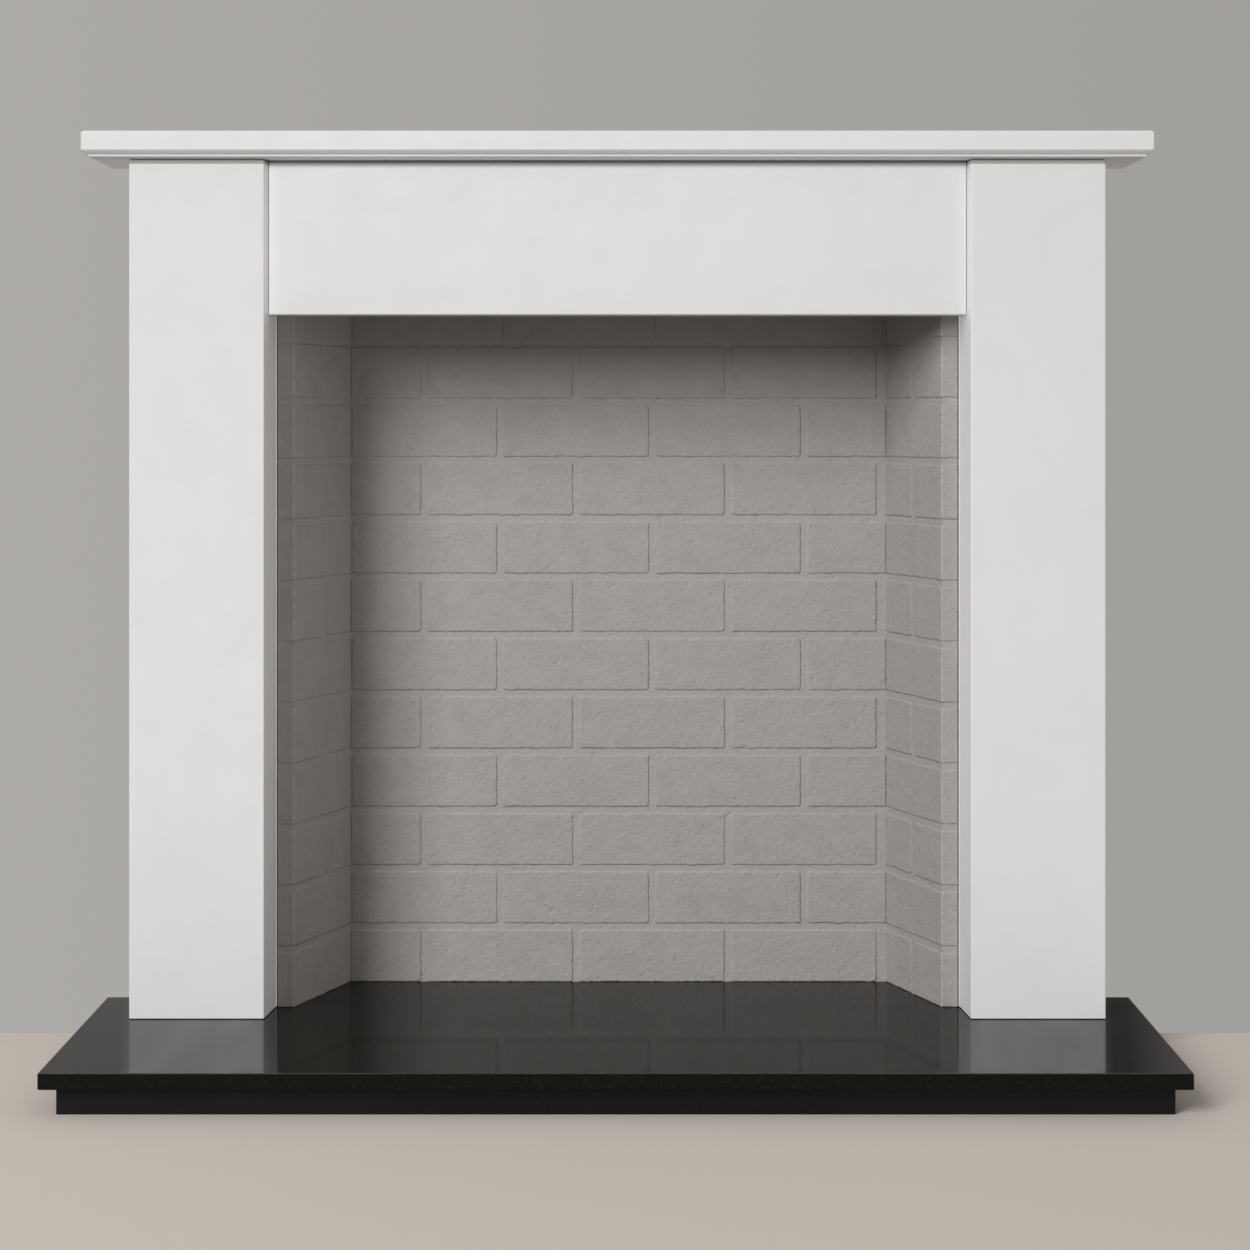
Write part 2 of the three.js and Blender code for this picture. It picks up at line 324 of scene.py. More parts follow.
@dataclass(frozen=True)
class SawnStone(Finish):
    """The sawn backs of the white stone: duller, with the saw's faint level marks."""

    pale: Colour
    mark: Colour
    mark_height: float

    def sockets(self, tree: NodeTree, place: Wire) -> Inputs:
        """The shader's inputs: see Finish."""
        _, _, height = tree.split(place)
        drift = tree.noise(place, 6.0, 2.0) * 0.02
        marks = tree.noise(tree.vector(0.0, 0.0, height + drift), 160.0, 4.0, 0.7)
        grain = tree.noise(place, 300.0, 3.0, 0.6)
        return {
            "Base Color": tree.blend(tree.ramp(marks, 0.35, 0.75) * 0.6, self.pale, self.mark),
            "Roughness": 0.82 + (grain - 0.5) * 0.2,
            "Normal": tree.bump(marks + grain * 0.5, 0.6, self.mark_height),
        }


@dataclass(frozen=True)
class BeddingAndShade(Finish):
    """What fills a joint: dull and sandy. Its colours here also paint the shade in and under the
    joints.
    """

    colour: Colour
    shade: float = 0.8

    def sockets(self, tree: NodeTree, place: Wire) -> Inputs:
        """The shader's inputs: see Finish."""
        sand = tree.noise(place, 700.0, 3.0, 0.6)
        dark = tuple(self.shade * value for value in self.colour)
        return {
            "Base Color": tree.blend(tree.ramp(sand, 0.35, 0.65), self.colour, dark),
            "Roughness": 0.92 + (sand - 0.5) * 0.1,
        }


@dataclass(frozen=True)
class Granite(Finish):
    """Black granite: a near-black ground, close dark crystals, sparse pale ones and a painted
    reflection.

    The painted reflection is a paler, streaky tint that stands in for the jambs' reflection in the
    polish. It lies on the top, over a span on each side that spreads a little towards the wall, and
    stays in place from every view.
    """

    ground: Colour
    crystal: Colour
    spark: Colour
    reflection_tint: Colour
    roughness: float
    polish_drift: float
    ior: float
    reflection_from: float = 0.0
    reflection_span: Point2 = (0.30, 0.80)
    reflection_fades: Point2 = (0.03, 0.016)
    film_edge: float = 0.0005
    reflection_depth: float = 0.122
    reflection_spread: float = 0.19
    reflection_streak: float = 0.22

    def sockets(self, tree: NodeTree, place: Wire) -> Inputs:
        """The shader's inputs: see Finish."""
        cells = tree.node("ShaderNodeTexVoronoi", {"Vector": place, "Scale": 420.0}, "Color")
        shade, pick, _ = tree.split(cells)
        crystals = tree.ramp(shade, 0.45, 1.0) * 0.8
        sparks = tree.ramp(pick, 0.965, 0.985)
        drift = tree.noise(place, 9.0, 4.0, 0.55)
        across, back, height = tree.split(place)
        # The painted reflection: a paler streaky tint in front of each jamb, standing in for the jambs'
        # reflection in the polish.
        reflection_place = tree.vector(across, back * self.reflection_streak, height)
        patches = tree.noise(reflection_place, 21.0, 1.2, 0.45) * 2.2 - 0.6
        aside = abs(across) - (back + self.reflection_depth) * self.reflection_spread
        (near, far), (fade_in, fade_out) = self.reflection_span, self.reflection_fades
        painted_reflection = tree.ramp(aside, near, near + fade_in) * tree.ramp(aside, far, far - fade_out)
        painted_reflection = painted_reflection * (0.38 + patches * 0.60)
        painted_reflection = painted_reflection * tree.ramp(height, self.reflection_from, self.reflection_from + self.film_edge)
        stone = tree.blend(crystals, self.ground, self.crystal)
        return {
            "Base Color": tree.blend(painted_reflection, tree.blend(sparks * 0.7, stone, self.spark), self.reflection_tint),
            "Roughness": self.roughness + (drift - 0.5) * self.polish_drift,
            "IOR": self.ior,
        }


@dataclass(frozen=True)
class CastBrick(Finish):
    """Cast brick effect: one grey all over, mottled warm and cool, finely grained, dented and chipped.

    Its bricks keep their distance from their own edges as FROM_EDGE, which is below zero on the mortar,
    and from the arris that they turn round as FROM_ARRIS. A paler band along that arris is partly wear
    and partly a painted highlight.
    """

    FROM_EDGE = "from_edge"
    FROM_ARRIS = "from_arris"
    EDGE_BAND = 0.0045
    RUBBED_AND_LIT_WIDTHS = (0.0018, 0.0004)

    body: Colour
    warm: Colour
    cool: Colour
    mortar: Colour
    rubbed_and_lit: Colour
    grain_height: float
    dent_height: float
    chip_height: float

    def sockets(self, tree: NodeTree, place: Wire) -> Inputs:
        """The shader's inputs: see Finish."""
        from_edge = tree.node("ShaderNodeAttribute", output="Fac", attribute_name=self.FROM_EDGE)
        from_arris = tree.node("ShaderNodeAttribute", output="Fac", attribute_name=self.FROM_ARRIS)
        from_edge = from_edge / self.EDGE_BAND
        on_mortar = tree.ramp(from_edge, 0.0, -0.5)
        clouds = tree.ramp(tree.noise(place, 11.0, 4.0, 0.6), 0.36, 0.66)
        warmth = tree.ramp(tree.noise(place, 30.0, 4.0, 0.62), 0.44, 0.66)
        chill = tree.ramp(tree.noise(tree.shifted(place, 7.3), 38.0, 4.0, 0.62), 0.48, 0.68)
        grain = tree.noise(place, 330.0, 4.0, 0.7)
        lumps = tree.noise(place, 110.0, 4.0, 0.62)
        dents = tree.ramp(tree.noise(tree.shifted(place, 3.1), 85.0, 3.0, 0.55), 0.60, 0.72)
        ragged = tree.noise(tree.shifted(place, 5.9), 190.0, 3.0, 0.6) - 0.5
        whole = tree.ramp(from_edge + ragged * 1.6, 0.05, 0.40)
        speckle = clouds * 0.30 + 0.20 + (grain - 0.5) * 2.2
        # A paler band along the arris: partly wear, partly a painted highlight where the arris catches
        # the light.
        worn_and_lit = tree.ramp(from_arris - ragged * 0.005, *self.RUBBED_AND_LIT_WIDTHS)
        chips = (1.0 - whole) * (1.0 - on_mortar) * tree.ramp(ragged, 0.02, 0.07)
        colour = tree.blend(speckle.math("MAXIMUM", 0.0), self.body, self.cool)
        for share, other in (
            (warmth * 0.75, self.warm),
            (chill * 0.75, self.cool),
            (on_mortar * 0.45, self.mortar),
            (worn_and_lit * 0.8, self.rubbed_and_lit),
            (chips * 0.8, self.rubbed_and_lit),
        ):
            colour = tree.blend(share, colour, other)
        normal = tree.bump(grain * 0.8 + lumps, 0.85, self.grain_height)
        normal = tree.bump(1.0 - dents, 0.8, self.dent_height, normal)
        return {
            "Base Color": colour,
            "Roughness": 0.90 + (lumps - 0.5) * 0.12,
            "Specular IOR Level": 0.25,
            "Normal": tree.bump(whole, 0.9, self.chip_height, normal),
        }


@dataclass(frozen=True)
class PlainFloor(Finish):
    """The plain pale floor of the stage."""

    colour: Colour

    def sockets(self, tree: NodeTree, place: Wire) -> Inputs:
        """The shader's inputs: see Finish."""
        return {"Base Color": (*self.colour, 1.0), "Roughness": 0.95, "Specular IOR Level": 0.1}


def finished(finish: Finish) -> Material:
    """A field of a palette, which holds the material of a finish."""
    return field(default_factory=finish.material)


@dataclass
class Palette:
    """The materials of the whole piece, each made once."""

    stone: Material = finished(
        HonedStone(
            "honed_white_stone",
            pale=(0.820, 0.813, 0.811),
            cloud=(0.780, 0.773, 0.770),
            fleck=(0.66, 0.655, 0.65),
            roughness=0.58,
            grain_height=0.00015,
        )
    )
    sawn: Material = finished(
        SawnStone(
            "sawn_white_stone",
            pale=(0.72, 0.70, 0.67),
            mark=(0.58, 0.56, 0.53),
            mark_height=0.0006,
        )
    )
    # Dark bedding: partly joint fill, partly painted shade in the recessed joints.
    bedding_and_shade: Material = finished(BeddingAndShade("bedding_joint_and_shade", colour=(0.13, 0.124, 0.115)))
    # Grey band under each top joint: partly pointing, partly painted shade under the shelf.
    pointing_and_shade: Material = finished(BeddingAndShade("joint_pointing_and_shade", colour=(0.44, 0.43, 0.415)))
    # Near-black foot fill: partly joint, partly a painted contact shadow at the jambs' feet.
    mastic_and_shadow: Material = finished(BeddingAndShade("foot_mastic_and_shadow", colour=(0.018, 0.017, 0.016)))
    polished: Material = finished(
        Granite(
            "polished_black_granite",
            ground=(0.0052, 0.0050, 0.0036),
            crystal=(0.0098, 0.0096, 0.0082),
            spark=(0.017, 0.0165, 0.015),
            reflection_tint=(0.065, 0.065, 0.069),
            roughness=0.080,
            polish_drift=0.04,
            ior=1.208,
            # Where the painted reflection of the jambs starts and lies on the slab's top.
            reflection_from=0.0534,
            reflection_span=(0.445, 0.640),
        )
    )
    # The hearth's upper arris: honed, and paler in colour as a painted highlight.
    worn_and_lit: Material = finished(
        Granite(
            "black_granite_arris",
            ground=(0.030, 0.030, 0.028),
            crystal=(0.055, 0.055, 0.052),
            spark=(0.10, 0.10, 0.095),
            reflection_tint=(0.06, 0.06, 0.057),
            roughness=0.34,
            polish_drift=0.10,
            ior=1.45,
        )
    )
    riser: Material = finished(
        Granite(
            "honed_black_granite",
            ground=(0.0038, 0.0037, 0.0028),
            crystal=(0.0068, 0.0066, 0.0054),
            spark=(0.013, 0.0125, 0.011),
            reflection_tint=(0.0075, 0.0074, 0.0064),
            roughness=0.45,
            polish_drift=0.08,
            ior=1.30,
        )
    )
    brick: Material = finished(
        CastBrick(
            "cast_brick_effect",
            body=(0.447, 0.423, 0.411),
            warm=(0.457, 0.425, 0.412),
            cool=(0.396, 0.387, 0.360),
            mortar=(0.457, 0.431, 0.415),
            # The paler colour of the chips and of the arris band, which is partly a painted highlight.
            rubbed_and_lit=(0.56, 0.54, 0.515),
            grain_height=0.0014,
            dent_height=0.0006,
            chip_height=0.0004,
        )
    )
    board: Material = finished(
        CastBrick(
            "cast_board",
            body=(0.40, 0.375, 0.345),
            warm=(0.40, 0.37, 0.34),
            cool=(0.33, 0.315, 0.29),
            mortar=(0.40, 0.375, 0.345),
            rubbed_and_lit=(0.40, 0.375, 0.345),
            grain_height=0.0012,
            dent_height=0.0012,
            chip_height=0.0,
        )
    )


def add_object(name: str, data: bpy.types.ID) -> bpy.types.Object:
    """Puts a new object with this data into the scene.

    Args:
        name: the object's name.
        data: its mesh, light or camera.

    Returns:
        The object, at the origin.
    """
    made = bpy.data.objects.new(name, data)
    bpy.context.scene.collection.objects.link(made)
    return made


def outfit(
    node: str, form: str, mesh: Mesh, materials: Sequence[Material], flat: bool = True
) -> Piece:
    """Makes a mesh into a piece of the object, in the place of a frame node.

    Args:
        node: the frame node that it replaces.
        form: what it is, in a word that ends its name.
        mesh: its mesh, in place.
        materials: its materials, in slot order.
        flat: whether its large faces stay flat in their shading where a rounded arris meets them.

    Returns:
        The piece.
    """
    mesh.name = f"{node}_{form}"
    for material in materials:
        mesh.materials.append(material)
    piece = add_object(mesh.name, mesh)
    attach(piece, BODY)
    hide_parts(node)
    if flat:
        piece.modifiers.new("flat faces", "WEIGHTED_NORMAL").keep_sharp = True
    LOG.info("%s: %d faces, for %s", piece.name, len(mesh.polygons), node)
    return piece


def finish_mesh(bm: Solid, smooth_under: float = 40.0) -> Mesh:
    """Turns a solid into a mesh that is smooth but for its sharper edges.

    Args:
        bm: the solid, which is freed.
        smooth_under: edges that turn by more than this many degrees stay sharp.

    Returns:
        The mesh.
    """
    bmesh.ops.recalc_face_normals(bm, faces=bm.faces[:])
    mesh = bpy.data.meshes.new("piece")
    bm.to_mesh(mesh)
    bm.free()
    mesh.polygons.foreach_set("use_smooth", [True] * len(mesh.polygons))
    mesh.set_sharp_from_angle(angle=math.radians(smooth_under))
    mesh.update()
    return mesh


def give_slot(mesh: Mesh, slot: int, which: FaceTest) -> None:
    """Gives some faces of a mesh another material slot.

    Args:
        mesh: the mesh.
        slot: the material slot.
        which: says whether a face gets it.
    """
    for face in mesh.polygons:
        if which(face):
            face.material_index = slot


def rings_solid(rings: Sequence[tuple[Sequence[Point2], float]]) -> Solid:
    """A solid through level rings.

    Args:
        rings: the rings from the bottom up, each a plan of as many points and a height.

    Returns:
        The solid.
    """
    bm = bmesh.new()
    levels = [[bm.verts.new((x, y, z)) for x, y in plan] for plan, z in rings]
    for lower, upper in zip(levels, levels[1:]):
        for i in range(len(lower)):
            j = (i + 1) % len(lower)
            bm.faces.new((lower[i], lower[j], upper[j], upper[i]))
    bm.faces.new(levels[0][::-1])
    bm.faces.new(levels[-1])
    return bm


def prism(outline: Sequence[Point2], low: float, high: float) -> Solid:
    """An upright solid on a plan outline, between two heights."""
    return rings_solid([(outline, low), (outline, high)])


def ease(bm: Solid, radius: float, steps: int, which: EdgeTest = lambda edge: True) -> None:
    """Rounds edges of a solid.

    Args:
        bm: the solid.
        radius: the rounding's radius.
        steps: the facets in each rounding.
        which: says whether an edge is rounded.
    """
    edges = [edge for edge in bm.edges if which(edge)]
    shape = {"offset_type": "OFFSET", "profile": 0.5, "affect": "EDGES", "clamp_overlap": True}
    bmesh.ops.bevel(bm, geom=edges, offset=radius, segments=steps, **shape)


def rectangle(low: Sequence[float], high: Sequence[float]) -> list[Point2]:
    """The plan of a box, anticlockwise from its left front corner."""
    return [(low[0], low[1]), (high[0], low[1]), (high[0], high[1]), (low[0], high[1])]


def arc(steps: int, end: float = math.pi / 2) -> list[float]:
    """The angles of a turn from 0 to its end."""
    return [end * i / steps for i in range(steps + 1)]


def quarter_round(radius: float, steps: int) -> list[Point2]:
    """The insets and rises of an eased lower edge, from the underside up."""
    return [(radius * (1 - math.sin(a)), radius * (1 - math.cos(a))) for a in arc(steps)]


def upside_down(edge: Sequence[Point2], height: float) -> list[Point2]:
    """A lower edge made the upper one of a stone of this height."""
    return [(inset, height - rise) for inset, rise in reversed(edge)]


def in_threes(corners: list[Vector]) -> Iterable[tuple[Vector, Vector, Vector]]:
    """Each corner of a plan between the one before it and the one after it."""
    return zip(corners[-1:] + corners[:-1], corners, corners[1:] + corners[:1])


def inset_corners(outline: Sequence[Point2], distance: float) -> list[Vector]:
    """The corners of a plan with every side moved in.

    Args:
        outline: the plan's corners, anticlockwise from above.
        distance: how far each side moves in.

    Returns:
        The new corners.
    """
    moved = []
    for before, corner, after in in_threes([Vector(corner) for corner in outline]):
        arriving, leaving = (corner - before).normalized(), (after - corner).normalized()
        inward = Vector((-arriving.y - leaving.y, arriving.x + leaving.x))
        moved.append(corner + inward * distance / (1.0 + arriving.dot(leaving)))
    return moved


def rounded_plan(outline: Sequence[Point2], distance: float, radius: float, steps: int) -> list[Point2]:
    """A plan, moved in and with its corners rounded.

    Args:
        outline: the plan's corners, anticlockwise from above.
        distance: how far each side moves in.
        radius: the corners' radius before the sides move in.
        steps: the facets in each corner.

    Returns:
        The points, `steps` and one for each corner.
    """
    reach = max(radius - distance, radius * 0.3)
    points = []
    for before, corner, after in in_threes(inset_corners(outline, distance)):
        back, ahead = (before - corner).normalized(), (after - corner).normalized()
        opening = back.angle(ahead)
        first = corner + back * reach / math.tan(opening / 2)
        middle = corner + (back + ahead).normalized() * reach / math.sin(opening / 2)
        bend = math.copysign(math.pi - opening, (-back).cross(ahead))
        for turn in arc(steps, bend):
            points.append(tuple(middle + Matrix.Rotation(turn, 2) @ (first - middle)))
    return points


@dataclass
class Surround:
    """The white stone: two jambs, the frieze between them and the moulded shelf over all."""

    SMOOTH_UNDER = 50.0
    FACES_BACK = 0.99
    SAME_HEIGHT = 1e-5

    palette: Palette
    opening_half_width: float = 0.457
    frieze_joint: float = 0.0003
    arris: float = 0.0018
    arris_steps: int = 4
    bead: float = 0.0010
    bead_slant: float = 1.6
    jamb_bed: float = 0.0022
    jamb_pointing: float = 0.0042
    frieze_bed: float = 0.0009
    frieze_pointing: float = 0.0020
    foot_bed: float = 0.0009
    pointing_and_shade_inset: float = 0.0004
    bed_depth: float = 0.0020
    bed_arris: float = 0.0006
    bed_steps: int = 2
    shelf_round: float = 0.0044
    shelf_lower_round: float = 0.0018
    shelf_lower_steps: int = 5
    splay_tilt: float = 50.0
    splay_inset: float = 0.0052
    fillet_inset: float = 0.0074
    fillet_lean: float = 0.0008
    fillet_top: float = 0.0053
    fillet_foot: float = 0.0021
    fillet_break: Point2 = (0.0005, 0.0003)
    soffit_inset: float = 0.0128
    shelf_plan_round: float = 0.0019
    shelf_plan_steps: int = 5
    curve_steps: int = 10

    def build(self) -> list[Piece]:
        """Builds all four stones, the jambs first."""
        jambs = [self.jamb("left_jamb", Side.LEFT), self.jamb("right_jamb", Side.RIGHT)]
        return [*jambs, self.frieze(), self.shelf()]

    def return_half_width(self, y: float) -> float:
        """The half width between the jambs' leaning inner sides.

        Args:
            y: the depth at which it is asked.

        Returns:
            The half width.
        """
        throat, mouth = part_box("right_jamb")[0].x, self.opening_half_width
        shallow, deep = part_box("right_jamb")[0].y + self.arris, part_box("chamber_right")[0].y
        return throat + (mouth - throat) * (deep - y) / (deep - shallow)

    def stone(self, node: str, plan: Callable[[float], list[Point2]], edge: Sequence[Point2]) -> Piece:
        """One stone, in the place of a frame node.

        Args:
            node: the frame node.
            plan: gives the points of the plan at an inset.
            edge: insets and heights of its sides, from its underside up.

        Returns:
            The piece, with a sawn back.
        """
        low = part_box(node)[0].z
        solid = rings_solid([(plan(inset), low + rise) for inset, rise in edge])
        mesh = finish_mesh(solid, self.SMOOTH_UNDER)
        give_slot(mesh, Skin.SAWN, lambda face: face.normal.y > self.FACES_BACK)
        # The recesses take the dark bedding, or the near-black mastic at the foot, and the flush bands
        # the grey pointing: joint fills that also paint shade under the shelf and a contact shadow at
        # the foot.
        for (inset, rise), (next_inset, next_rise) in zip(edge, edge[1:]):
            bed = Skin.BEDDING_AND_SHADE if rise else Skin.MASTIC_AND_SHADOW
            for skin, depth in ((bed, self.bed_depth), (Skin.POINTING_AND_SHADE, self.pointing_and_shade_inset)):
                if inset == next_inset == depth:
                    middle = low + (rise + next_rise) / 2
                    give_slot(mesh, skin, lambda face: abs(face.center.z - middle) < self.SAME_HEIGHT)
        palette = self.palette
        skins = [palette.stone, palette.sawn, palette.bedding_and_shade, palette.pointing_and_shade, palette.mastic_and_shadow]
        last = max(face.material_index for face in mesh.polygons)
        return outfit(node, "stone", mesh, skins[: last + 1])

    def bed(self, foot: float, pointing_and_shade: float = 0.0) -> list[Point2]:
        """The recessed joint at an end of a stone, the flush grey pointing next to it, which also
        paints shade, and then the eased edge.

        Args:
            foot: the joint's height.
            pointing_and_shade: the height of the flush grey pointing, which also paints shade, or 0 for
                none.

        Returns:
            Insets and distances from the stone's end.
        """
        points = [(self.bed_depth, 0.0), (self.bed_depth, foot)]
        if pointing_and_shade:
            points += [(self.pointing_and_shade_inset, foot + HAIR), (self.pointing_and_shade_inset, foot + pointing_and_shade)]
        start = foot + pointing_and_shade + HAIR
        eased = quarter_round(self.bed_arris, self.bed_steps)
        return points + [(inset, start + rise) for inset, rise in eased]

    def jamb(self, node: str, side: Side) -> Piece:
        """A square leg whose inner side leans in to a bead at the throat, between two recessed joints.

        Args:
            node: the frame node that it replaces.
            side: which side it is on.

        Returns:
            The piece.
        """
        low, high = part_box(node)
        outer, throat = max(abs(low.x), abs(high.x)), min(abs(low.x), abs(high.x))
        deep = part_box("chamber_right")[0].y
        right = [
            (outer, 0.0),
            (throat, 0.0),
            (throat, deep),
            (throat + self.bead, deep - self.bead_slant * self.bead),
            (self.return_half_width(low.y), low.y),
            (outer, low.y),
        ]
        outline = right if side is Side.RIGHT else [(-x, y) for x, y in right[::-1]]
        above = upside_down(self.bed(self.jamb_bed, self.jamb_pointing), high.z - low.z)
        return self.stone(node, self.arrised(outline), [*self.bed(self.foot_bed), *above])

    def frieze(self) -> Piece:
        """The panel between the jambs, with an eased lower edge and a recessed joint over it.

        Returns:
            The piece.
        """
        low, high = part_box("frieze")
        shallow = self.return_half_width(low.y) - self.frieze_joint
        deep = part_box("right_jamb")[0].x - self.frieze_joint
        outline = [(deep, high.y), (-deep, high.y), (-shallow, low.y), (shallow, low.y)]
        above = upside_down(self.bed(self.frieze_bed, self.frieze_pointing), high.z - low.z)
        edge = [*quarter_round(self.arris, self.curve_steps), *above]
        return self.stone("frieze", self.arrised(outline), edge)

    def arrised(self, outline: Sequence[Point2]) -> Callable[[float], list[Point2]]:
        """What gives the points of an outline at an inset, with its corners eased."""
        return lambda inset: rounded_plan(outline, inset, self.arris, self.arris_steps)

    def shelf(self) -> Piece:
        """The shelf, with its moulded edge along the front and both ends."""
        edge = self.profile(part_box("mantel_shelf")[1].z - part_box("mantel_shelf")[0].z)
        return self.stone("mantel_shelf", self.shelf_plan, edge)

    def profile(self, height: float) -> list[Point2]:
        """The shelf's edge from its underside up.

        Args:
            height: the shelf's whole height.

        Returns:
            Points, each an inset from the widest part and a height over the underside.
        """
        tilt, lip = math.radians(self.splay_tilt), self.shelf_lower_round
        splay_foot = self.fillet_top + 2 * HAIR
        splay_top = splay_foot + (self.splay_inset - lip * (1 - math.cos(tilt))) / math.tan(tilt)
        fillet_back = self.fillet_inset + self.fillet_lean
        over, under = self.fillet_break
        points = [
            (self.soffit_inset, 0.0),
            (fillet_back + over, self.fillet_foot - under),
            (fillet_back, self.fillet_foot),
            (self.fillet_inset, self.fillet_top),
            (self.splay_inset, splay_foot),
        ]
        for a in reversed(arc(self.shelf_lower_steps, tilt)):
            points.append((lip * (1 - math.cos(a)), splay_top + lip * (math.sin(tilt) - math.sin(a))))
        return points + upside_down(quarter_round(self.shelf_round, self.curve_steps), height)

    def shelf_plan(self, inset: float) -> list[Point2]:
        """The shelf's plan at an inset, square at the wall and rounded at its front corners.

        Args:
            inset: how far its front and ends are moved in.

        Returns:
            The points, anticlockwise.
        """
        low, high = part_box("mantel_shelf")
        half_width, front = high.x - inset, low.y + inset
        corner = quarter_round(self.shelf_plan_round, self.shelf_plan_steps)
        left = [(-half_width + aside, front + back) for aside, back in reversed(corner)]
        right = [(-x, y) for x, y in left[::-1]]
        return [(half_width, 0.0), (-half_width, 0.0), *left, *right]


@dataclass
class Hearth:
    """The granite slab and the riser that it stands on.

    The faces that look up by more than LEAST_UP and less than MOST_UP are those of an upper arris,
    which is honed and paler in colour, a painted highlight along the edge.
    """

    LEAST_UP = 0.6
    MOST_UP = 0.98
    WORN_AND_LIT_SLOT = 1

    palette: Palette
    arris: float = 0.0013
    arris_steps: int = 3
    riser_arris: float = 0.001

    def outline(self, node: str) -> list[Point2]:
        """The T-shaped plan of a hearth piece, whose tongue is as wide as the fire chamber.

        Args:
            node: the frame node of the piece.

        Returns:
            The corners, anticlockwise from the left front one.
        """
        low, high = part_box(node)
        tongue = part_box("chamber_back")[1].x
        right = [(high.x, low.y), (high.x, 0.0), (tongue, 0.0), (tongue, high.y)]
        return [(low.x, low.y), *right, (-tongue, high.y), (-tongue, 0.0), (low.x, 0.0)]

    def piece(self, node: str, radius: float, material: Material, slot: str) -> Piece:
        """One of the two stones.

        Args:
            node: the frame node that it replaces.
            radius: how far its arrises are rounded.
            material: its finish.
            slot: not used.

        Returns:
            The piece.
        """
        low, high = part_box(node)
        solid = prism(self.outline(node), low.z, high.z)
        ease(solid, radius, self.arris_steps)
        mesh = finish_mesh(solid)
        # The upper arris gets the paler honed granite, a painted highlight.
        give_slot(mesh, self.WORN_AND_LIT_SLOT, lambda face: self.LEAST_UP < face.normal.z < self.MOST_UP)
        return outfit(node, "stone", mesh, [material, self.palette.worn_and_lit])

    def build(self) -> list[Piece]:
        """Builds the slab and the riser."""
        return [
            self.piece("hearth_plinth", self.riser_arris, self.palette.riser, "black_riser"),
            self.piece("hearth_slab", self.arris, self.palette.polished, "black_granite"),
        ]


@dataclass
class Brickwork:
    """The bricks of one wall: each field is an input of the brickwork tree."""

    material: Material
    length: float
    height: float
    joint: float
    module: float = 0.2096
    course_pitch: float = 0.0805
    first_course: float = 0.076
    mortar: float = 0.008
    shortest_brick: float = 0.007
    relief: float = 0.0025
    embed: float = 0.001
    corner_round: float = 0.0045
    edge_round: float = 0.0013
    wander: float = 0.0034
    unevenness: float = 0.0006
    turn_at: float = -1.0
    turn_angle: float = 0.0
    turn_round: float = 0.003
    cuts_along: int = 56
    cuts_up: int = 22
    seed: int = 1


